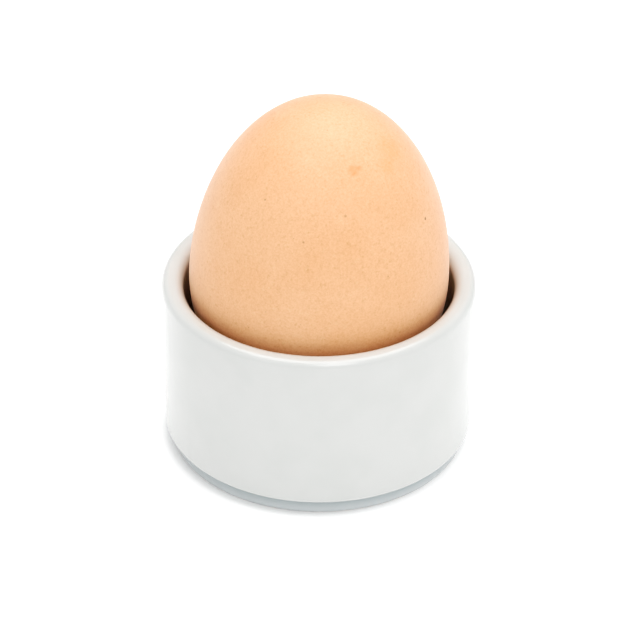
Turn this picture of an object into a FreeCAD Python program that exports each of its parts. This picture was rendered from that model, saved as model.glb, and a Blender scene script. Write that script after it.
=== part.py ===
"""Egg cup with a whole boiled hen's egg standing in it, in millimetres.

The cup is one piece of glazed porcelain: nearly straight sided, with a rounded rim, a
hemispherical bowl and a narrower foot ring under a small step. The egg stands blunt end down,
leans a little to +X and lifts out along +Z. It is made of the pieces that a boiled egg comes
apart into: shell, outer and inner shell membrane with the air cell between them at the blunt
end, white, yolk in its own membrane, and the two chalazae that run from the yolk into the white.

Frame: +Z up, origin at the centre of the foot ring's contact face.
"""
import FreeCAD, Part
import Sketcher
import math
import os

DOCUMENT = "EggCup"
SHEET = "Dimensions"
OUTPUT_FOLDER = "parts"

# Every size of the model, in millimetres, and the egg's lean in degrees. The cup's heights are
# measured from the foot ring's contact face, the egg's from its own widest section.
DIMENSIONS = {
    "cup_height": 31.12,
    "rim_radius": 26.5,
    "base_radius": 26.15,
    "rim_wall": 3.65,
    "rim_round_outer": 1.3,
    "rim_round_inner": 1.9,
    "base_round": 1.1,
    "foot_height": 2.55,
    "foot_radius": 24.85,
    "foot_width": 3.3,
    "foot_round": 0.5,
    "step_round": 0.15,
    "recess_depth": 2.3,
    "recess_draft": 0.4,
    "recess_round": 0.9,
    "egg_radius": 21.85,
    "pointed_length": 32.45,
    "blunt_length": 23.25,
    "egg_level": 31.79,
    "egg_lean": 3.5,
    "shell_wall": 0.36,
    "membrane_wall": 0.1,
    "air_cell_depth": 3.4,
    "air_cell_bulge": 0.9,
    "yolk_radius": 15.4,
    "yolk_level": 3.2,
    "chalaza_root": 1.7,
    "chalaza_tip": 0.6,
    "chalaza_sunk": 0.4,
    "upper_chalaza_length": 9.5,
    "lower_chalaza_length": 6.4,
}

ORIGIN = (-1, 1)  # the sketch's own origin, as (geometry, point)
X_AXIS, Y_AXIS = -1, -2  # the sketch's own axes, as geometry
START, END, CENTRE = 1, 2, 3  # the points of a curve, as Sketcher numbers them
SAME_EDGE = 1e-4  # how near, in millimetres, an edge has to lie to the circle asked for


# --- sizes -----------------------------------------------------------------------------------


def make_sheet(doc):
    """The spreadsheet that holds the driving dimensions, one aliased cell each."""
    sheet = doc.addObject("Spreadsheet::Sheet", SHEET)
    for row, (name, number) in enumerate(DIMENSIONS.items(), start=1):
        sheet.set(f"A{row}", name)
        sheet.set(f"B{row}", str(number))
        sheet.setAlias(f"B{row}", name)
    doc.recompute()
    return sheet


def terms(place):
    """Splits a sum such as "rim_radius - rim_wall" into its signs and cell names."""
    sign = 1
    for word in place.split():
        if word in ("+", "-"):
            sign = 1 if word == "+" else -1
        else:
            yield sign, word


def size(sheet, place):
    """The number that a sum of cells stands for."""
    return sum(sign * float(sheet.get(name)) for sign, name in terms(place))


def formula(place):
    """The same sum as an expression that a constraint or a property can be bound to."""
    return " ".join(f"{'+' if sign > 0 else '-'} {SHEET}.{name}" for sign, name in terms(place))


# --- sketches and features -------------------------------------------------------------------


def new_body(doc, name):
    body = doc.addObject("PartDesign::Body", name)
    body.Label = name
    return body


def new_sketch(body, name):
    """An empty sketch on the body's XZ plane: its x is the radius and its y the height."""
    sketch = body.newObject("Sketcher::SketchObject", name)
    plane = next(o for o in body.Origin.OriginFeatures if o.Role == "XZ_Plane")
    sketch.AttachmentSupport = (plane, [""])
    sketch.MapMode = "FlatFace"
    return sketch


def join(sketch, point, other):
    """Makes two points of the sketch one, each given as (geometry, point)."""
    sketch.addConstraint(Sketcher.Constraint("Coincident", *point, *other))


def lay_on(sketch, point, line):
    """Keeps a point on a line or an axis of the sketch."""
    sketch.addConstraint(Sketcher.Constraint("PointOnObject", *point, line))


def set_out(sketch, sheet, point, radius, height):
    """Holds a point at a radius and a height, each a sum of cells, or None for zero."""
    for letter, place, axis in (("X", radius, Y_AXIS), ("Y", height, X_AXIS)):
        if place is None:
            lay_on(sketch, point, axis)
            continue
        reach = Sketcher.Constraint("Distance" + letter, *ORIGIN, *point, size(sheet, place))
        index = sketch.addConstraint(reach)
        sketch.setExpression(f"Constraints[{index}]", formula(place))


def draw_corners(sketch, sheet, corners):
    """Draws a closed section of straight lines through corners (radius, height)."""
    points = [
        FreeCAD.Vector(size(sheet, radius or ""), size(sheet, height or ""), 0)
        for radius, height in corners
    ]
    for start, end in zip(points, points[1:] + points[:1]):
        sketch.addGeometry(Part.LineSegment(start, end), False)
    for i, (radius, height) in enumerate(corners):
        join(sketch, (i, END), ((i + 1) % len(corners), START))
        set_out(sketch, sheet, (i, START), radius, height)


def draw_line(sketch, start, end):
    """Draws a line between two points of the sketch, each given as (geometry, point)."""
    ends = [sketch.getPoint(*point) for point in (start, end)]
    line = sketch.addGeometry(Part.LineSegment(*ends), False)
    join(sketch, (line, START), start)
    join(sketch, (line, END), end)


def draw_half_circle(sketch, sheet, radius, level):
    """Draws half a circle from under to over a centre on the axis; returns those two points."""
    middle = FreeCAD.Vector(0, size(sheet, level), 0)
    circle = Part.Circle(middle, FreeCAD.Vector(0, 0, 1), size(sheet, radius))
    arc = sketch.addGeometry(Part.ArcOfCircle(circle, -math.pi / 2, math.pi / 2), False)
    set_out(sketch, sheet, (arc, CENTRE), None, level)
    lay_on(sketch, (arc, START), Y_AXIS)
    lay_on(sketch, (arc, END), Y_AXIS)
    index = sketch.addConstraint(Sketcher.Constraint("Radius", arc, size(sheet, radius)))
    sketch.setExpression(f"Constraints[{index}]", formula(radius))
    return (arc, START), (arc, END)


def turn(body, kind, sketch):
    """Revolves a sketch about its vertical axis, as a Revolution or a Groove."""
    feature = body.newObject("PartDesign::" + kind, f"{sketch.Name}_{kind.lower()}")
    feature.Profile = sketch
    feature.ReferenceAxis = (sketch, ["V_Axis"])
    feature.Angle = 360
    body.Tip = feature


def circle_edge(feature, radius, height):
    """The name of the feature's edge that circles the Z axis at a radius and a height."""
    for index, edge in enumerate(feature.Shape.Edges, start=1):
        if edge.Degenerated or not isinstance(edge.Curve, Part.Circle):
            continue
        curve = edge.Curve
        if abs(curve.Radius - radius) + abs(curve.Center.z - height) < SAME_EDGE:
            return f"Edge{index}"
    raise RuntimeError(f"{feature.Name} has no edge of radius {radius} at {height}")


def round_off(doc, sheet, body, name, rounding, circles):
    """Rounds the body's edges at each (radius, height), both sums of cells or None for zero."""
    doc.recompute()
    base = body.Tip
    edges = [circle_edge(base, size(sheet, r or ""), size(sheet, z or "")) for r, z in circles]
    fillet = body.newObject("PartDesign::Fillet", name)
    fillet.Base = (base, edges)
    fillet.setExpression("Radius", formula(rounding))
    body.Tip = fillet


# --- the cup ---------------------------------------------------------------------------------


def make_cup(doc, sheet):
    """The porcelain cup, one fired piece."""
    mouth = "rim_radius - rim_wall"
    foot_inside = "foot_radius - foot_width"
    recess = "foot_radius - foot_width - recess_draft"
    body = new_body(doc, "egg_cup")

    block = new_sketch(body, "block")
    outside = [
        (None, None),
        ("foot_radius", None),
        ("foot_radius", "foot_height"),
        ("base_radius", "foot_height"),
        ("rim_radius", "cup_height"),
        (None, "cup_height"),
    ]
    draw_corners(block, sheet, outside)
    turn(body, "Revolution", block)

    # The bowl is a hemisphere whose centre is in the plane of the rim.
    bowl = new_sketch(body, "bowl")
    low, high = draw_half_circle(bowl, sheet, mouth, "cup_height")
    draw_line(bowl, high, low)
    turn(body, "Groove", bowl)

    hollow = new_sketch(body, "foot_hollow")
    inside = [
        (None, None),
        (foot_inside, None),
        (recess, "recess_depth"),
        (None, "recess_depth"),
    ]
    draw_corners(hollow, sheet, inside)
    turn(body, "Groove", hollow)

    for name, rounding, circles in (
        ("rim_outside", "rim_round_outer", [("rim_radius", "cup_height")]),
        ("rim_inside", "rim_round_inner", [(mouth, "cup_height")]),
        ("wall_bottom", "base_round", [("base_radius", "foot_height")]),
        ("under_step", "step_round", [("foot_radius", "foot_height")]),
        ("hollow_ceiling", "recess_round", [(recess, "recess_depth")]),
        ("foot_edges", "foot_round", [("foot_radius", None), (foot_inside, None)]),
    ):
        round_off(doc, sheet, body, name, rounding, circles)
    return body


# --- the egg ---------------------------------------------------------------------------------

# The egg's outline is two half ellipses that meet at its widest section, the longer one up.
# Each layer's outline lies a depth inside it, written as what is taken off the egg's sizes.
OUTSIDE = ""
UNDER_SHELL = " - shell_wall"
BETWEEN_MEMBRANES = " - shell_wall - membrane_wall"
ROUND_WHITE = " - shell_wall - membrane_wall - membrane_wall"

# The air cell's edge, and where the white's lower end lies above it by one membrane.
AIR_CELL = " + air_cell_depth - blunt_length"
AIR_CELL_LINED = " + air_cell_depth - blunt_length + membrane_wall"


def draw_quarter(sketch, sheet, radius, reach, up, stop=None):
    """Draws a quarter of an ellipse from the widest section to a pole, or as far as stop.

    Returns its ends at the widest section and at the pole.
    """
    across, along = size(sheet, radius), size(sheet, reach)
    pole = FreeCAD.Vector(0, along if up else -along, 0)
    side = FreeCAD.Vector(-across if up else across, 0, 0)
    ellipse = Part.Ellipse(pole, side, FreeCAD.Vector(0, 0, 0))
    if up:
        first, last = 1.5 * math.pi, 2 * math.pi
    else:
        first, last = 0, math.pi / 2
        if stop is not None:
            first = math.acos(-size(sheet, stop) / along)
    arc = sketch.addGeometry(Part.ArcOfEllipse(ellipse, first, last), False)
    sketch.exposeInternalGeometry(arc)
    long_axis = arc + 1
    wide, far = ((arc, START), (arc, END)) if up else ((arc, END), (arc, START))
    join(sketch, (arc, CENTRE), ORIGIN)
    sketch.addConstraint(Sketcher.Constraint("Vertical", long_axis))
    index = sketch.addConstraint(Sketcher.Constraint("Distance", long_axis, 2 * along))
    sketch.setExpression(f"Constraints[{index}]", f"2 * ({formula(reach)})")
    if stop is None:
        lay_on(sketch, far, Y_AXIS)
    else:
        drop = -size(sheet, stop)
        index = sketch.addConstraint(Sketcher.Constraint("DistanceY", *far, *ORIGIN, drop))
        sketch.setExpression(f"Constraints[{index}]", f"-({formula(stop)})")
    return wide, far


def draw_ceiling(sketch, sheet, rim, stop):
    """Draws the air cell's domed ceiling from a point on the outline; returns its crown."""
    edge = sketch.getPoint(*rim)
    crown = FreeCAD.Vector(0, edge.y - size(sheet, "air_cell_bulge"), 0)
    bulge = edge.y - crown.y
    radius = (edge.x**2 + bulge**2) / (2 * bulge)
    middle = crown + FreeCAD.Vector(0, radius, 0)
    circle = Part.Circle(middle, FreeCAD.Vector(0, 0, 1), radius)
    last = 1.5 * math.pi + math.asin(edge.x / radius)
    arc = sketch.addGeometry(Part.ArcOfCircle(circle, 1.5 * math.pi, last), False)
    lay_on(sketch, (arc, CENTRE), Y_AXIS)
    lay_on(sketch, (arc, START), Y_AXIS)
    join(sketch, (arc, END), rim)
    place = stop + " - air_cell_bulge"
    drop = -size(sheet, place)
    index = sketch.addConstraint(
        Sketcher.Constraint("DistanceY", arc, START, *ORIGIN, drop)
    )
    sketch.setExpression(f"Constraints[{index}]", f"-({formula(place)})")
    return arc, START


def draw_outline(sketch, sheet, depth, stop=None):
    """Draws half of the egg's outline at a depth; returns its two ends on the axis.

    With stop given, the blunt end is cut off at that height by the air cell's ceiling.
    """
    radius = "egg_radius" + depth
    wide, top = draw_quarter(sketch, sheet, radius, "pointed_length" + depth, True)
    lay_on(sketch, wide, X_AXIS)
    index = sketch.addConstraint(
        Sketcher.Constraint("DistanceX", *ORIGIN, *wide, size(sheet, radius))
    )
    sketch.setExpression(f"Constraints[{index}]", formula(radius))
    low_wide, low = draw_quarter(sketch, sheet, radius, "blunt_length" + depth, False, stop)
    join(sketch, low_wide, wide)
    if stop is not None:
        low = draw_ceiling(sketch, sheet, low, stop)
    return top, low


def make_layer(doc, sheet, name, outer, inner, stop=None, inner_stop=None):
    """A closed skin between two depths, its section turned once round the egg's axis."""
    body = new_body(doc, name)
    section = new_sketch(body, name + "_section")
    top, low = draw_outline(section, sheet, outer, stop)
    inner_top, inner_low = draw_outline(section, sheet, inner, inner_stop)
    draw_line(section, top, inner_top)
    draw_line(section, low, inner_low)
    turn(body, "Revolution", section)
    return body


def make_yolk_membrane(doc, sheet):
    """The skin that holds the yolk together."""
    body = new_body(doc, "yolk_membrane")
    section = new_sketch(body, "yolk_membrane_section")
    outer_low, outer_high = draw_half_circle(
        section, sheet, "yolk_radius + membrane_wall", "yolk_level"
    )
    inner_low, inner_high = draw_half_circle(section, sheet, "yolk_radius", "yolk_level")
    draw_line(section, outer_low, inner_low)
    draw_line(section, outer_high, inner_high)
    turn(body, "Revolution", section)
    return body


def turn_ball(body, kind, sheet, name, radius):
    """Adds or takes away a ball about the yolk's centre."""
    section = new_sketch(body, name)
    low, high = draw_half_circle(section, sheet, radius, "yolk_level")
    draw_line(section, high, low)
    turn(body, kind, section)


def turn_cord(body, kind, sheet, name, sign, length):
    """Adds or takes away a tapering cord from the yolk towards one pole."""
    back = "-" if sign == "+" else "+"
    root = f"yolk_level {sign} yolk_radius {back} chalaza_sunk"
    tip = f"yolk_level {sign} yolk_radius {sign} {length}"
    section = new_sketch(body, name)
    corners = [(None, root), ("chalaza_root", root), ("chalaza_tip", tip), (None, tip)]
    draw_corners(section, sheet, corners)
    turn(body, kind, section)


CORDS = {
    "chalaza_upper": ("+", "upper_chalaza_length"),
    "chalaza_lower": ("-", "lower_chalaza_length"),
}


def make_white(doc, sheet):
    """The set white, with the hollows that the yolk and the chalazae fill."""
    body = new_body(doc, "egg_white")
    section = new_sketch(body, "white_section")
    top, low = draw_outline(section, sheet, ROUND_WHITE, AIR_CELL_LINED)
    draw_line(section, top, low)
    turn(body, "Revolution", section)
    for name, (sign, length) in CORDS.items():
        turn_cord(body, "Groove", sheet, name + "_channel", sign, length)
    turn_ball(body, "Groove", sheet, "yolk_hollow", "yolk_radius + membrane_wall")
    return body


def make_yolk(doc, sheet):
    body = new_body(doc, "egg_yolk")
    turn_ball(body, "Revolution", sheet, "yolk_section", "yolk_radius")
    return body


def make_chalaza(doc, sheet, name):
    """One chalaza, whose root sits on the yolk's membrane."""
    body = new_body(doc, name)
    turn_cord(body, "Revolution", sheet, name + "_section", *CORDS[name])
    turn_ball(body, "Groove", sheet, name + "_root", "yolk_radius + membrane_wall")
    return body


def stand_egg(bodies):
    """Stands the egg's pieces in the cup: raised to the egg's level and leaning to +X."""
    upright = FreeCAD.Rotation(FreeCAD.Vector(0, 1, 0), 1)
    for body in bodies:
        body.Placement = FreeCAD.Placement(FreeCAD.Vector(0, 0, 0), upright)
        body.setExpression("Placement.Base.z", formula("egg_level"))
        body.setExpression("Placement.Rotation.Angle", formula("egg_lean"))


# --- the document ----------------------------------------------------------------------------


def check(doc, bodies):
    """Stops if any object failed, any cut took nothing, or any piece isn't one valid solid."""
    for thing in doc.Objects:
        if any(state in ("Invalid", "Error") for state in thing.State):
            raise RuntimeError(f"{thing.Name} failed: {thing.State}")
        if thing.isDerivedFrom("Sketcher::SketchObject") and thing.solve() != 0:
            raise RuntimeError(f"{thing.Name} doesn't solve")
        if thing.isDerivedFrom("PartDesign::Groove"):
            if thing.Shape.Volume > thing.BaseFeature.Shape.Volume - 0.1:
                raise RuntimeError(f"{thing.Name} cuts nothing")
    for body in bodies:
        shape = body.Shape
        if shape.isNull() or not shape.isValid() or len(shape.Solids) != 1:
            raise RuntimeError(f"{body.Label} isn't one valid solid")


def main():
    doc = FreeCAD.newDocument(DOCUMENT)
    sheet = make_sheet(doc)
    cup = make_cup(doc, sheet)
    egg = [
        make_layer(doc, sheet, "eggshell", OUTSIDE, UNDER_SHELL),
        make_layer(doc, sheet, "outer_shell_membrane", UNDER_SHELL, BETWEEN_MEMBRANES),
        make_layer(
            doc,
            sheet,
            "inner_shell_membrane",
            BETWEEN_MEMBRANES,
            ROUND_WHITE,
            AIR_CELL,
            AIR_CELL_LINED,
        ),
        make_white(doc, sheet),
        make_yolk_membrane(doc, sheet),
        make_yolk(doc, sheet),
        *(make_chalaza(doc, sheet, name) for name in CORDS),
    ]
    stand_egg(egg)
    doc.recompute()
    check(doc, [cup, *egg])
    os.makedirs(OUTPUT_FOLDER, exist_ok=True)
    for body in [cup, *egg]:
        body.Shape.exportStep(os.path.join(OUTPUT_FOLDER, body.Label + ".step"))
        print(f"{body.Label}: {body.Shape.Volume:.1f} mm3")


main()
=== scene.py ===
"""Looks of the egg cup and the boiled egg that stands in it, built round the CAD frame."""

import math

import bmesh
import bpy
import numpy as np
from mathutils import Matrix, Vector


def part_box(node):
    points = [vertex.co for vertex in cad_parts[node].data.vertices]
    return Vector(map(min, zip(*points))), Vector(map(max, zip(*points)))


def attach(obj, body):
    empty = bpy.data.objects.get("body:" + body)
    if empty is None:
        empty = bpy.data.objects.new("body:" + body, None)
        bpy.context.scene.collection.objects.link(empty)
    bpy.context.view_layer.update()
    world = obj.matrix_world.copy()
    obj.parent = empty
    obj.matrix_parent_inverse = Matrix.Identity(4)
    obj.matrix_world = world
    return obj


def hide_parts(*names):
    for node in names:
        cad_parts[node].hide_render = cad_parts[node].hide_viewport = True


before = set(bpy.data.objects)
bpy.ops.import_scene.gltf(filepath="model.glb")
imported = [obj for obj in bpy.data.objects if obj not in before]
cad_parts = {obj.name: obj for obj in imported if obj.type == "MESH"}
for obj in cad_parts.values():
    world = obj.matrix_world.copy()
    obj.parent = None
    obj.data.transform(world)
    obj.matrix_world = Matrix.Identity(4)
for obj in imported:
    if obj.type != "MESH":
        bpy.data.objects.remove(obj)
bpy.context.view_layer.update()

MM = 0.001
CUP_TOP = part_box("egg_cup")[1][2]
SHELL_LOW, SHELL_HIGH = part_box("eggshell")

# --- sizes, in millimetres -----------------------------------------------------------------
# The cup's height and the egg's width are read from the frame. The rest are the CAD's own.
CUP_HEIGHT = CUP_TOP / MM
RIM_RADIUS = 26.5
BASE_RADIUS = 26.15
BOWL_RADIUS = 22.85
RIM_OUTER_ROUND = 1.3
RIM_INNER_ROUND = 1.9
BASE_ROUND = 1.1
FOOT_HEIGHT = 2.55
FOOT_RADIUS = 24.85
FOOT_INSIDE = 21.55
HOLLOW_RADIUS = 21.15
HOLLOW_DEPTH = 2.3
STEP_ROUND = 0.15
FOOT_ROUND = 0.5
HOLLOW_ROUND = 0.9

EGG_RADIUS = (SHELL_HIGH[1] - SHELL_LOW[1]) / 2 / MM
POINTED = 32.45
BLUNT = 23.25
EGG_LEVEL = 31.79
EGG_LEAN = math.radians(3.5)
SHELL_WALL = 0.36
YOLK_RADIUS = 15.4
YOLK_LEVEL = 3.2
CHALAZA_ROOT = 1.7  # radii of a whole cord, at the yolk and at its far end
CHALAZA_TIP = 0.6
CHALAZA_START = 0.7  # how far from the yolk a cord's strands start
UPPER_CHALAZA_REACH, UPPER_CHALAZA_TURNS = 9.4, 4.0
LOWER_CHALAZA_REACH, LOWER_CHALAZA_TURNS = 6.3, 3.0

# What turns the upright egg, its widest section at the origin, into the leaning one in the cup.
STAND = Matrix.Translation((0, 0, EGG_LEVEL * MM)) @ Matrix.Rotation(EGG_LEAN, 4, "Y")


# --- meshes --------------------------------------------------------------------------------


def arc(centre, radius, start, end, steps):
    """Points of a circle's arc, angles in degrees, both ends included."""
    angles = np.radians(np.linspace(start, end, steps))
    return [(centre[0] + radius * math.cos(a), centre[1] + radius * math.sin(a)) for a in angles]


def line(start, end, steps):
    """Points between two points, neither end included."""
    return [
        tuple(np.array(start) + (np.array(end) - np.array(start)) * i / (steps + 1))
        for i in range(1, steps + 1)
    ]


def revolve(profile, segments):
    """Vertices (n, 3) and faces of a profile of (radius, height) points turned about Z.

    The profile starts and ends on the axis.
    """
    rings = np.array(profile[1:-1])
    angles = np.arange(segments) * 2 * math.pi / segments
    around = np.stack([np.cos(angles), np.sin(angles)], -1)
    body = np.concatenate(
        [rings[:, None, :1] * around, np.repeat(rings[:, None, 1:], segments, 1)], -1
    ).reshape(-1, 3)
    ends = [[0, 0, profile[0][1]], [0, 0, profile[-1][1]]]
    vertices = np.concatenate([body, ends])
    count = len(rings)
    faces = []
    for i in range(count - 1):
        for j in range(segments):
            k = (j + 1) % segments
            a, b = i * segments, (i + 1) * segments
            faces.append((a + j, b + j, b + k, a + k))
    first, last = count * segments, count * segments + 1
    for j in range(segments):
        k = (j + 1) % segments
        faces.append((first, j, k))
        tail = (count - 1) * segments
        faces.append((last, tail + k, tail + j))
    return vertices, faces


def waves(points, seed, scale, count=48):
    """Smooth noise of about -1 to 1 at points: a sum of plane waves of about that wavelength."""
    draw = np.random.default_rng(seed)
    directions = draw.normal(size=(count, 3))
    directions /= np.linalg.norm(directions, axis=1)[:, None]
    lengths = scale * draw.uniform(0.7, 1.6, count)
    phases = draw.uniform(0, 2 * math.pi, count)
    total = np.zeros(len(points))
    for direction, length, phase in zip(directions, lengths, phases):
        total += np.cos(points @ direction * (2 * math.pi / length) + phase)
    return total / math.sqrt(count / 2) / 2


def uneven(points, layers):
    """Layers of waves at points, summed; a layer is (height, seed, scale)."""
    return sum(height * waves(points, seed, scale) for height, seed, scale in layers)


def make_mesh(name, vertices, faces, smooth=True):
    """A mesh object from vertices in millimetres."""
    mesh = bpy.data.meshes.new(name)
    mesh.from_pydata((np.asarray(vertices) * MM).tolist(), [], faces)
    mesh.validate()
    mesh.update()
    if smooth:
        mesh.polygons.foreach_set("use_smooth", [True] * len(mesh.polygons))
    piece = bpy.data.objects.new(name, mesh)
    bpy.context.scene.collection.objects.link(piece)
    return piece


def outward(piece):
    """Turns the faces of each closed surface in a mesh away from that surface's own middle."""
    work = bmesh.new()
    work.from_mesh(piece.data)
    bmesh.ops.recalc_face_normals(work, faces=work.faces)
    work.to_mesh(piece.data)
    work.free()


# --- materials -----------------------------------------------------------------------------


class Nodes:
    """A material's node tree, with short ways to add nodes and to link them."""

    def __init__(self, name):
        self.material = bpy.data.materials.new(name)
        self.material.use_nodes = True
        self.tree = self.material.node_tree
        self.shader = self.tree.nodes["Principled BSDF"]
        self.place = self.add("ShaderNodeTexCoord").outputs["Object"]

    def add(self, kind, **settings):
        """A new node with these settings."""
        node = self.tree.nodes.new(kind)
        for key, value in settings.items():
            setattr(node, key, value)
        return node

    def link(self, source, target):
        self.tree.links.new(source, target)

    def fill(self, socket, value):
        """Links a socket or sets it to a value."""
        if isinstance(value, bpy.types.NodeSocket):
            self.link(value, socket)
        else:
            socket.default_value = value

    def noise(self, scale, detail=2.0, roughness=0.5, seed=0.0):
        """Noise of 0 to 1; scale is the size of its features in millimetres."""
        node = self.add("ShaderNodeTexNoise", noise_dimensions="4D")
        self.link(self.place, node.inputs["Vector"])
        node.inputs["Scale"].default_value = 1 / (scale * MM)
        node.inputs["Detail"].default_value = detail
        node.inputs["Roughness"].default_value = roughness
        node.inputs["W"].default_value = seed
        return node.outputs["Fac"]

    def cells(self, size, seed):
        """Voronoi cells of a size in millimetres, as (distance in cell sizes, random colour)."""
        node = self.add("ShaderNodeTexVoronoi", voronoi_dimensions="4D")
        self.link(self.place, node.inputs["Vector"])
        node.inputs["Scale"].default_value = 1 / (size * MM)
        node.inputs["W"].default_value = seed
        return node.outputs["Distance"], node.outputs["Color"]

    def ramp(self, value, low, high, first=0.0, last=1.0):
        """Value from low to high becomes first to last, smoothly, and no further."""
        node = self.add("ShaderNodeMapRange", interpolation_type="SMOOTHSTEP", clamp=True)
        self.fill(node.inputs["Value"], value)
        for name, number in zip(
            ("From Min", "From Max", "To Min", "To Max"), (low, high, first, last)
        ):
            node.inputs[name].default_value = number
        return node.outputs["Result"]

    def math(self, operation, a, b):
        """The result of a math node."""
        node = self.add("ShaderNodeMath", operation=operation)
        self.fill(node.inputs[0], a)
        self.fill(node.inputs[1], b)
        return node.outputs[0]

    def mix(self, amount, a, b, blend="MIX"):
        """Mixes two colours."""
        node = self.add("ShaderNodeMix", data_type="RGBA", blend_type=blend)
        self.fill(node.inputs[0], amount)
        for socket, value in ((node.inputs[6], a), (node.inputs[7], b)):
            self.fill(socket, (*value, 1) if isinstance(value, tuple) else value)
        return node.outputs[2]

    def part(self, vector, axis):
        """One of a vector's or a colour's three numbers."""
        node = self.add("ShaderNodeSeparateXYZ")
        self.link(vector, node.inputs[0])
        return node.outputs[axis]

    def radius(self, side=0.0):
        """The distance, in metres, from an upright axis that is side millimetres along X."""
        flat = self.add("ShaderNodeVectorMath", operation="MULTIPLY_ADD")
        self.link(self.place, flat.inputs[0])
        flat.inputs[1].default_value = (1, 1, 0)
        flat.inputs[2].default_value = (-side * MM, 0, 0)
        length = self.add("ShaderNodeVectorMath", operation="LENGTH")
        self.link(flat.outputs["Vector"], length.inputs[0])
        return length.outputs["Value"]

    def near(self, point, reach, soft):
        """1 within reach of a point, in millimetres, falling to 0 over soft."""
        node = self.add("ShaderNodeVectorMath", operation="DISTANCE")
        self.link(self.place, node.inputs[0])
        node.inputs[1].default_value = [c * MM for c in point]
        return self.ramp(node.outputs["Value"], reach * MM, (reach + soft) * MM, 1.0, 0.0)

    def bump(self, height, distance, before=None):
        """A bump whose full height is distance, in millimetres."""
        node = self.add("ShaderNodeBump")
        self.link(height, node.inputs["Height"])
        node.inputs["Distance"].default_value = distance * MM
        node.inputs["Strength"].default_value = 1.0
        if before is not None:
            self.link(before, node.inputs["Normal"])
        return node.outputs["Normal"]

    def finish(self, **values):
        """Sets the shader's sockets, whose names' spaces are underscores; gives the material."""
        for name, value in values.items():
            self.fill(self.shader.inputs[name.replace("_", " ")], value)
        return self.material


GLAZE = ((0.670, 0.682, 0.666), (0.692, 0.700, 0.686))  # a colour and the one it drifts to
GLAZE_SPECK = (0.5, 0.44, 0.36)
# Painted shade on the foot ring under the step: darker at its top, under the overhang, and
# lighter at the floor.
FOOT_PAINTED_SHADE = ((0.60, 0.635, 0.645), (0.45, 0.495, 0.505))  # at the foot's bottom and its top
CLAY = ((0.66, 0.62, 0.56), (0.78, 0.75, 0.69))
CLAY_STAIN = (0.5, 0.47, 0.43)
WIPED = (0.02, 0.10)  # the heights between which the bare clay ends, in millimetres
WIPED_WOBBLE = 0.4


def porcelain():
    """White glaze with painted shade on the foot ring under the step, and the bare clay where the
    foot ring was wiped clean.
    """
    n = Nodes("white_glaze")
    height = n.part(n.place, 2)
    wobble = n.math("MULTIPLY", n.noise(3.0), WIPED_WOBBLE * MM)
    wiped = [(level + WIPED_WOBBLE / 2) * MM for level in WIPED]
    bare = n.ramp(n.math("ADD", height, wobble), *wiped, 1.0, 0.0)
    glaze = n.mix(n.ramp(n.noise(9.0, 3.0), 0.35, 0.65), *GLAZE)
    dots, chance = n.cells(4.5, 3.0)
    speck = n.math(
        "MULTIPLY", n.ramp(dots, 0.02, 0.045, 1.0, 0.0), n.ramp(n.part(chance, 0), 0.9, 0.92)
    )
    glaze = n.mix(n.math("MULTIPLY", speck, 0.45), glaze, GLAZE_SPECK)
    # Painted shade: the foot ring below the step turns bluish grey, darkest at its top under the
    # overhang.
    low = n.ramp(height, (FOOT_HEIGHT - 0.3) * MM, (FOOT_HEIGHT + 0.1) * MM, 1.0, 0.0)
    corner = n.ramp(n.radius(), (HOLLOW_RADIUS - 2.0) * MM, (HOLLOW_RADIUS - 0.1) * MM)
    foot_shade = n.mix(n.ramp(height, 0.4 * MM, 2.2 * MM), *FOOT_PAINTED_SHADE)
    glaze = n.mix(n.math("MULTIPLY", low, corner), glaze, foot_shade)
    grit = n.noise(0.25, 4.0, 0.7)
    clay = n.mix(n.ramp(grit, 0.3, 0.7), *CLAY)
    clay = n.mix(n.ramp(n.noise(2.5, 3.0), 0.52, 0.75), clay, CLAY_STAIN)
    colour = n.mix(bare, glaze, clay)
    gloss = n.ramp(n.noise(5.0, 3.0), 0.3, 0.7, 0.13, 0.2)
    rough = n.math("MAXIMUM", gloss, n.math("MULTIPLY", bare, 0.75))
    peel = n.bump(n.noise(2.2, 1.0), 0.012)
    pits = n.bump(n.math("MULTIPLY", grit, bare), 0.05, before=peel)
    return n.finish(
        Base_Color=colour,
        Roughness=rough,
        Normal=pits,
        IOR=1.5,
        Coat_Weight=0.35,
        Coat_Roughness=0.08,
    )


SHELL_BASE = (0.885, 0.515, 0.310)
SHELL_CLOUDS = ((0.85, 0.468, 0.265), (0.91, 0.553, 0.345))
SHELL_FINE_BROWN = (0.60, 0.285, 0.115)
SHELL_FINE_PALE = (0.93, 0.66, 0.42)
SHELL_PORE = (0.44, 0.2, 0.085)
SHELL_SPECK = (0.34, 0.15, 0.07)
SHELL_POWDER = ((0.955, 0.93, 0.90), (1.03, 1.055, 1.075))  # what multiplies the colour


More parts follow.
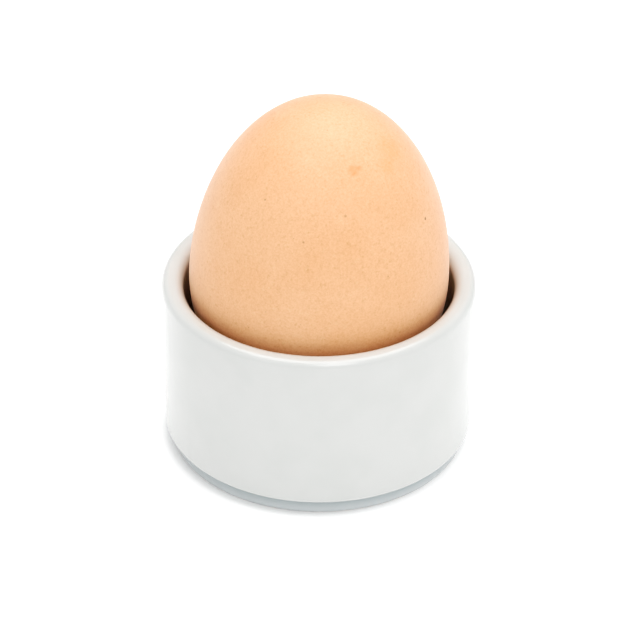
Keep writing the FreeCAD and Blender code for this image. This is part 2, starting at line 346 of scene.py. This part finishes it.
def brown_shell(marks):
    """The brown eggshell: mottled, with pores, specks and the marks given."""
    n = Nodes("brown_eggshell")
    clouds = n.mix(n.ramp(n.noise(11.0, 3.0, 0.55, 1.0), 0.3, 0.7), *SHELL_CLOUDS)
    colour = n.mix(0.55, clouds, SHELL_BASE)
    fine = n.noise(0.55, 5.0, 0.7, 2.0)
    colour = n.mix(n.ramp(fine, 0.5, 0.76, 0.0, 0.4), colour, SHELL_FINE_BROWN)
    pale = n.noise(0.9, 4.0, 0.6, 5.0)
    colour = n.mix(n.ramp(pale, 0.55, 0.8, 0.0, 0.35), colour, SHELL_FINE_PALE)
    pore, pore_chance = n.cells(0.8, 4.0)
    crowd = n.ramp(n.noise(8.0, 2.0, 0.5, 6.0), 0.4, 0.6, 0.35, 1.0)
    pores = n.math(
        "MULTIPLY",
        n.ramp(pore, 0.06, 0.22, 1.0, 0.0),
        n.ramp(n.part(pore_chance, 1), 0.4, 0.9),
    )
    pores = n.math("MULTIPLY", pores, crowd)
    colour = n.mix(n.math("MULTIPLY", pores, 0.6), colour, SHELL_PORE)
    speck, speck_chance = n.cells(2.6, 7.0)
    specks = n.math(
        "MULTIPLY",
        n.ramp(speck, 0.03, 0.085, 1.0, 0.0),
        n.ramp(n.part(speck_chance, 2), 0.6, 0.85),
    )
    colour = n.mix(n.math("MULTIPLY", specks, 0.6), colour, SHELL_SPECK)
    powder = n.mix(n.ramp(n.noise(0.3, 3.0, 0.6, 8.0), 0.3, 0.7), *SHELL_POWDER)
    colour = n.mix(1.0, colour, powder, "MULTIPLY")
    ragged = n.ramp(n.noise(0.9, 4.0, 0.7, 9.0), 0.3, 0.6, 0.35, 1.0)
    for place, reach, soft, tint, strength in marks:
        blot = n.math("MULTIPLY", n.near(place, reach, soft), ragged)
        colour = n.mix(n.math("MULTIPLY", blot, strength), colour, tint)
    rough = n.ramp(fine, 0.3, 0.75, 0.5, 0.62)
    grain = n.bump(n.noise(0.28, 3.0, 0.6, 3.0), 0.025)
    pitted = n.bump(n.math("SUBTRACT", 1.0, pores), 0.03, before=grain)
    return n.finish(
        Base_Color=colour,
        Roughness=rough,
        Normal=pitted,
        IOR=1.45,
        Sheen_Weight=0.28,
        Sheen_Roughness=0.4,
    )


# Colours of what is inside the shell: each pair is a colour and the one it drifts to.
MEMBRANE = ((0.84, 0.8, 0.72), (0.94, 0.92, 0.87))
MEMBRANE_TINT = (0.9, 0.82, 0.72)
WHITE = ((0.87, 0.87, 0.83), (0.93, 0.925, 0.89))
WHITE_BUBBLE = (0.75, 0.75, 0.7)
YOLK = ((0.88, 0.5, 0.06), (0.96, 0.66, 0.14))
YOLK_BLOOM = (0.62, 0.56, 0.2)
CHALAZA = ((0.8, 0.78, 0.7), (0.93, 0.92, 0.86))


def membrane():
    """A moist white skin of crossing fibres."""
    n = Nodes("egg_membrane")
    fibre = n.noise(0.12, 6.0, 0.75, 1.0)
    colour = n.mix(n.ramp(fibre, 0.3, 0.7), *MEMBRANE)
    colour = n.mix(n.ramp(n.noise(6.0, 3.0), 0.45, 0.7, 0.0, 0.3), colour, MEMBRANE_TINT)
    return n.finish(
        Base_Color=colour,
        Roughness=n.ramp(fibre, 0.3, 0.7, 0.35, 0.5),
        Normal=n.bump(fibre, 0.02),
        IOR=1.4,
        Subsurface_Weight=0.3,
        Subsurface_Scale=0.001,
    )


def boiled_white():
    """Boiled egg white: bright and smooth, with a few tiny bubbles."""
    n = Nodes("boiled_egg_white")
    tone = n.noise(5.0, 3.0)
    colour = n.mix(n.ramp(tone, 0.3, 0.7), *WHITE)
    bubble, chance = n.cells(1.6, 2.0)
    bubbles = n.math(
        "MULTIPLY", n.ramp(bubble, 0.05, 0.12, 1.0, 0.0), n.ramp(n.part(chance, 0), 0.75, 0.85)
    )
    colour = n.mix(n.math("MULTIPLY", bubbles, 0.3), colour, WHITE_BUBBLE)
    return n.finish(
        Base_Color=colour,
        Roughness=n.ramp(tone, 0.3, 0.7, 0.26, 0.36),
        Normal=n.bump(n.math("SUBTRACT", n.noise(1.2, 2.0), bubbles), 0.04),
        IOR=1.36,
        Subsurface_Weight=0.5,
        Subsurface_Scale=0.003,
    )


def boiled_yolk():
    """Boiled yolk: orange yellow and crumbly, with a patchy grey green bloom."""
    n = Nodes("boiled_yolk")
    grain = n.noise(0.35, 5.0, 0.7)
    colour = n.mix(n.ramp(grain, 0.3, 0.7), *YOLK)
    bloom = n.ramp(n.noise(7.0, 3.0, 0.5, 4.0), 0.5, 0.75, 0.0, 0.25)
    colour = n.mix(bloom, colour, YOLK_BLOOM)
    return n.finish(
        Base_Color=colour,
        Roughness=n.ramp(grain, 0.3, 0.7, 0.6, 0.8),
        Normal=n.bump(grain, 0.06),
        IOR=1.4,
        Subsurface_Weight=0.25,
        Subsurface_Scale=0.0015,
    )


def chalaza_white():
    """The chalaza's dense white, with faint strands."""
    n = Nodes("chalaza_white")
    strand = n.noise(0.25, 4.0, 0.7)
    colour = n.mix(n.ramp(strand, 0.3, 0.7), *CHALAZA)
    return n.finish(
        Base_Color=colour,
        Roughness=n.ramp(strand, 0.3, 0.7, 0.3, 0.45),
        Normal=n.bump(strand, 0.03),
        IOR=1.38,
        Subsurface_Weight=0.3,
        Subsurface_Scale=0.001,
    )


def paint(piece, material):
    """Gives a piece this one material."""
    piece.data.materials.clear()
    piece.data.materials.append(material)


# --- the cup -------------------------------------------------------------------------------


def cup_profile():
    """The cup's section from the bowl's lowest point round to the middle of the foot's hollow."""
    rim = CUP_HEIGHT
    inner_drop = RIM_INNER_ROUND
    inner_middle = (math.sqrt((BOWL_RADIUS + inner_drop) ** 2 - inner_drop**2), rim - inner_drop)
    meet = math.degrees(math.asin(inner_drop / (BOWL_RADIUS + inner_drop)))
    taper = math.atan2(RIM_RADIUS - BASE_RADIUS, CUP_HEIGHT - FOOT_HEIGHT)
    lean = math.degrees(taper)

    def wall(height):
        """The wall's radius at a height."""
        return BASE_RADIUS + (height - FOOT_HEIGHT) * math.tan(taper)

    outer_height = rim - RIM_OUTER_ROUND
    outer_middle = (wall(outer_height) - RIM_OUTER_ROUND / math.cos(taper), outer_height)
    base_height = FOOT_HEIGHT + BASE_ROUND
    base_middle = (wall(base_height) - BASE_ROUND / math.cos(taper), base_height)
    step_middle = (FOOT_RADIUS + STEP_ROUND, FOOT_HEIGHT - STEP_ROUND)
    hollow_middle = (HOLLOW_RADIUS - HOLLOW_ROUND, HOLLOW_DEPTH - HOLLOW_ROUND)

    points = [(0, rim - BOWL_RADIUS)]
    points += arc((0, rim), BOWL_RADIUS, -90, -meet, 72)[1:]
    points += arc(inner_middle, RIM_INNER_ROUND, 180 - meet, 90, 14)[1:]
    points += arc(outer_middle, RIM_OUTER_ROUND, 90, -lean, 18)
    points += line(points[-1], (wall(base_height), base_height), 44)
    points += arc(base_middle, BASE_ROUND, -lean, -90, 12)
    points += arc(step_middle, STEP_ROUND, 90, 180, 6)
    points += line(points[-1], (FOOT_RADIUS, FOOT_ROUND), 6)
    points += arc((FOOT_RADIUS - FOOT_ROUND, FOOT_ROUND), FOOT_ROUND, 0, -90, 8)
    points += line(points[-1], (FOOT_INSIDE + FOOT_ROUND, 0), 4)
    points += arc((FOOT_INSIDE + FOOT_ROUND, FOOT_ROUND), FOOT_ROUND, -90, -180, 8)
    points += arc(hollow_middle, HOLLOW_ROUND, 0, 90, 8)
    points += line(points[-1], (0, HOLLOW_DEPTH), 24)
    points.append((0, HOLLOW_DEPTH))
    return points


CUP_SEGMENTS = 320
CUP_INSET = 0.03  # keeps the uneven wall and rim inside the CAD's size
WALL_UNEVEN = ((0.045, 11, 34), (0.012, 12, 7))
FOOT_TRUE, FOOT_BLEND = 0.8, 3  # the foot is true up to here, and free this much higher
BOWL_BLEND = 8  # the bowl's middle is true, and it is free this far out
RIM_FROM, RIM_BLEND = 26, 4  # the rim's height varies from here up


def build_cup():
    """The porcelain cup, as even as a moulded and glazed piece is, but not quite perfect."""
    vertices, faces = revolve(cup_profile(), CUP_SEGMENTS)
    out = np.linalg.norm(vertices[:, :2], axis=1)
    radial = vertices[:, :2] / np.maximum(out, 1e-6)[:, None]
    height = vertices[:, 2]
    free = np.clip((height - FOOT_TRUE) / FOOT_BLEND, 0, 1) * np.clip(out / BOWL_BLEND, 0, 1)
    swell = uneven(vertices, WALL_UNEVEN)
    vertices[:, :2] += radial * (swell * free - CUP_INSET * free)[:, None]
    top = np.clip((height - RIM_FROM) / RIM_BLEND, 0, 1)
    vertices[:, 2] += CUP_INSET * (waves(vertices, 13, 40) - 1) * top
    piece = make_mesh("porcelain_cup", vertices, faces)
    outward(piece)
    paint(piece, porcelain())
    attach(piece, "egg_cup")
    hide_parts("egg_cup")


# --- the egg -------------------------------------------------------------------------------


def egg_point(azimuth, height):
    """A point of the upright egg: azimuth in degrees from +X, height from the widest section."""
    reach = POINTED if height > 0 else BLUNT
    radius = EGG_RADIUS * math.sqrt(1 - (height / reach) ** 2)
    turn = math.radians(azimuth)
    return (radius * math.cos(turn), radius * math.sin(turn), height)


def egg_profile(depth, steps):
    """Points of the egg's section from the blunt pole to the pointed one, evenly spread.

    The depth is how far inside the shell's outer face the section lies.
    """
    fine = np.linspace(-math.pi / 2, math.pi / 2, 4001)
    reach = np.where(fine > 0, POINTED, BLUNT) - depth
    outline = np.stack([(EGG_RADIUS - depth) * np.cos(fine), reach * np.sin(fine)], -1)
    along = np.concatenate([[0], np.cumsum(np.linalg.norm(np.diff(outline, axis=0), axis=1))])
    even = np.linspace(0, along[-1], steps)
    points = np.stack([np.interp(even, along, outline[:, i]) for i in (0, 1)], -1)
    points[0, 0] = points[-1, 0] = 0
    return [tuple(p) for p in points]


# Marks on the shell: (azimuth, height, reach, softness, colour, strength), sizes in millimetres.
MARKS = (
    (-27.5, 17.2, 0.15, 0.2, (0.30, 0.13, 0.06), 0.85),
    (-101.2, 17.3, 0.08, 0.18, (0.35, 0.14, 0.07), 0.65),
    (-79.6, 21.5, 0.10, 0.24, (0.45, 0.20, 0.09), 0.5),
    (-71.0, 27.25, 0.25, 1.1, (0.80, 0.30, 0.12), 0.5),
    (-65.5, 27.4, 0.10, 0.7, (0.72, 0.26, 0.10), 0.4),
    (-25.4, 28.1, 0.9, 2.6, (0.85, 0.38, 0.16), 0.33),
    (-40.9, 26.6, 0.5, 1.7, (0.85, 0.38, 0.16), 0.3),
)
SHELL_RINGS, SHELL_SEGMENTS = 220, 360
INSIDE_RINGS, INSIDE_SEGMENTS = 80, 120
SHELL_INSET = 0.045  # keeps the uneven shell inside the CAD's size
SHELL_UNEVEN = ((0.035, 21, 26), (0.015, 22, 9), (0.005, 23, 1.6))


def build_shell():
    """The eggshell, with its slightly uneven brown outside and a plain inside.

    The inside's faces point away from the egg's middle, not into the hollow: a known fault.
    """
    vertices, faces = revolve(egg_profile(0, SHELL_RINGS), SHELL_SEGMENTS)
    direction = vertices / np.linalg.norm(vertices, axis=1)[:, None]
    vertices = vertices + direction * (uneven(vertices, SHELL_UNEVEN) - SHELL_INSET)[:, None]
    inside, inner_faces = revolve(egg_profile(SHELL_WALL, INSIDE_RINGS), INSIDE_SEGMENTS)
    start = len(vertices)
    inner_faces = [tuple(start + i for i in face) for face in inner_faces]
    piece = make_mesh("brown_eggshell", np.concatenate([vertices, inside]), faces + inner_faces)
    outward(piece)
    piece.data.transform(STAND)
    marks = [
        (STAND @ Vector([c * MM for c in egg_point(azimuth, height)]) / MM, *rest)
        for azimuth, height, *rest in MARKS
    ]
    paint(piece, brown_shell(marks))
    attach(piece, "egg")
    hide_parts("eggshell")


def tube(path, radii, sides):
    """Vertices and faces of a closed tube of changing radius along a path of points."""
    path = np.asarray(path)
    along = np.gradient(path, axis=0)
    along /= np.linalg.norm(along, axis=1)[:, None]
    across = np.cross(along, [1.0, 0.3, 0.0])
    across /= np.linalg.norm(across, axis=1)[:, None]
    third = np.cross(along, across)
    turn = (np.arange(sides) * 2 * math.pi / sides)[None, :, None]
    ring = np.cos(turn) * across[:, None] + np.sin(turn) * third[:, None]
    body = (path[:, None] + ring * np.asarray(radii)[:, None, None]).reshape(-1, 3)
    vertices = np.concatenate([body, path[:1], path[-1:]])
    faces = []
    for i in range(len(path) - 1):
        for j in range(sides):
            k = (j + 1) % sides
            a, b = i * sides, (i + 1) * sides
            faces.append((a + j, a + k, b + k, b + j))
    last = (len(path) - 1) * sides
    for j in range(sides):
        k = (j + 1) % sides
        faces.append((len(body), k, j))
        faces.append((len(body) + 1, last + j, last + k))
    return vertices, faces


STRAND_STEPS, STRAND_SIDES = 110, 14
STRAND_SWAY = 0.47  # of the cord's radius: how far a strand's middle lies from the cord's
STRAND_RADIUS = 0.44  # of the cord's radius
STRAND_SWELL = 0.03


def build_chalaza(node, side, reach, turns):
    """Two strands twisted round each other, from the yolk out into the white.

    The side is 1 above the yolk and -1 below it.
    """
    root = YOLK_LEVEL + side * (YOLK_RADIUS + CHALAZA_START)
    tip = YOLK_LEVEL + side * (YOLK_RADIUS + reach)
    t = np.linspace(0, 1, STRAND_STEPS)
    cord = CHALAZA_ROOT + (CHALAZA_TIP - CHALAZA_ROOT) * t
    vertices, faces = [], []
    for strand in (0, 1):
        turn = math.pi * strand + 2 * math.pi * turns * (t + 0.12 * t * t)
        sway = STRAND_SWAY * cord
        path = np.stack([sway * np.cos(turn), sway * np.sin(turn), root + (tip - root) * t], -1)
        ends = np.clip(np.minimum(t / 0.02, (1 - t) / 0.06), 0, 1)
        share = STRAND_RADIUS + STRAND_SWELL * np.sin(9 * t + strand)
        points, point_faces = tube(path, share * cord * np.sqrt(0.15 + 0.85 * ends), STRAND_SIDES)
        start = sum(len(v) for v in vertices)
        vertices.append(points)
        faces += [tuple(start + i for i in face) for face in point_faces]
    piece = make_mesh(node + "_strands", np.concatenate(vertices), faces)
    outward(piece)
    piece.data.transform(STAND)
    paint(piece, chalaza_white())
    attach(piece, "egg")
    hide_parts(node)


def build_inside():
    """Builds the two twisted cords, and gives the carried-over inner pieces their materials."""
    build_chalaza("chalaza_upper", 1, UPPER_CHALAZA_REACH, UPPER_CHALAZA_TURNS)
    build_chalaza("chalaza_lower", -1, LOWER_CHALAZA_REACH, LOWER_CHALAZA_TURNS)
    skin = membrane()
    for node, material in (
        ("outer_shell_membrane", skin),
        ("inner_shell_membrane", skin),
        ("yolk_membrane", skin),
        ("egg_white", boiled_white()),
        ("egg_yolk", boiled_yolk()),
    ):
        paint(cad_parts[node], material)


# --- the studio ----------------------------------------------------------------------------

CAMERA_DISTANCE = 0.7  # in metres, as the target is
CAMERA_DROP = 0.584  # how far the camera looks down, in radians
CAMERA_ROLL = 0.005
CAMERA_LENS = 232.57  # on a sensor 36 mm wide
TARGET = Vector((0.000215, 0, 0.022244))


def build_camera():
    """A long lens that looks down at the cup from the front."""
    data = bpy.data.cameras.new("camera")
    data.sensor_width = 36
    data.lens = CAMERA_LENS
    data.clip_start, data.clip_end = 0.01, 20
    camera = bpy.data.objects.new("camera", data)
    bpy.context.scene.collection.objects.link(camera)
    back = Vector((0, -math.cos(CAMERA_DROP), math.sin(CAMERA_DROP)))
    tilt = Matrix.Rotation(math.pi / 2 - CAMERA_DROP, 4, "X")
    roll = Matrix.Rotation(CAMERA_ROLL, 4, "Z")
    camera.matrix_world = Matrix.Translation(TARGET + back * CAMERA_DISTANCE) @ tilt @ roll
    bpy.context.scene.camera = camera


# Disc lights: (name, place, diameter, watts), all aimed at the same point.
LIGHTS = (
    ("top", (0.03, 0.10, 0.80), 0.9, 4.75),
    ("front", (0.18, -0.75, 0.90), 0.55, 2.15),
    ("right", (0.80, -0.35, 0.25), 0.5, 0.14),
)
LIGHT_AIM = Vector((0, 0, 0.02))


def area_light(name, place, size, power):
    """A white disc light that faces the cup."""
    data = bpy.data.lights.new(name, "AREA")
    data.shape = "DISK"
    data.size = size
    data.energy = power
    light = bpy.data.objects.new(name, data)
    bpy.context.scene.collection.objects.link(light)
    light.location = place
    light.rotation_euler = (LIGHT_AIM - Vector(place)).to_track_quat("-Z", "Y").to_euler()


WORLD_LIGHT = 0.60
# The camera's tone curve: (scene light, shown light). Its toe deepens what lies in shade.
TONE = ((0.05, 0.005), (0.1, 0.035), (0.2, 0.13), (0.3, 0.255), (0.45, 0.44), (0.75, 0.76))


def build_world():
    """Soft white surroundings, and how the camera shows them."""
    world = bpy.data.worlds.new("studio")
    world.use_nodes = True
    background = world.node_tree.nodes["Background"]
    background.inputs["Color"].default_value = (1.0, 1.0, 1.0, 1)
    background.inputs["Strength"].default_value = WORLD_LIGHT
    bpy.context.scene.world = world
    view = bpy.context.scene.view_settings
    view.view_transform = "Standard"
    view.use_curve_mapping = True
    for light, shown in TONE:
        view.curve_mapping.curves[3].points.new(light, shown)
    view.curve_mapping.update()


# The floor glows a little, and less under the cup's overhang: (strength there, strength outside).
FLOOR_GLOW = (0.17, 0.33)
FLOOR_SHADE = (24.7, 26.2)  # the radii between which the glow rises, in millimetres
FLOOR_SHADE_SIDE = -1.1  # the middle of the shade, along X
FLOOR_REACH = 1500  # half the floor's side
FLOOR_LEVEL = -0.02  # just under the foot, so that the two faces don't fight
FLOOR_GREY = ((0.79, 0.79, 0.79), (0.81, 0.81, 0.81))


def pale_floor():
    """A nearly even pale grey that glows a little."""
    n = Nodes("pale_floor")
    shade = [radius * MM for radius in FLOOR_SHADE]
    return n.finish(
        Base_Color=n.mix(n.ramp(n.noise(400.0, 2.0), 0.3, 0.7), *FLOOR_GREY),
        Roughness=0.6,
        Specular_IOR_Level=0.2,
        Emission_Color=(1, 1, 1, 1),
        Emission_Strength=n.ramp(n.radius(FLOOR_SHADE_SIDE), *shade, *FLOOR_GLOW),
    )


def build_floor():
    """A flat square floor round the cup."""
    signs = ((-1, -1), (1, -1), (1, 1), (-1, 1))
    corners = [(x * FLOOR_REACH, y * FLOOR_REACH, FLOOR_LEVEL) for x, y in signs]
    floor = make_mesh("floor", corners, [(0, 1, 2, 3)], smooth=False)
    paint(floor, pale_floor())


def build_studio():
    """The camera, the surroundings, the floor and the lights."""
    build_camera()
    build_world()
    build_floor()
    for light in LIGHTS:
        area_light(*light)


build_cup()
build_shell()
build_inside()
build_studio()
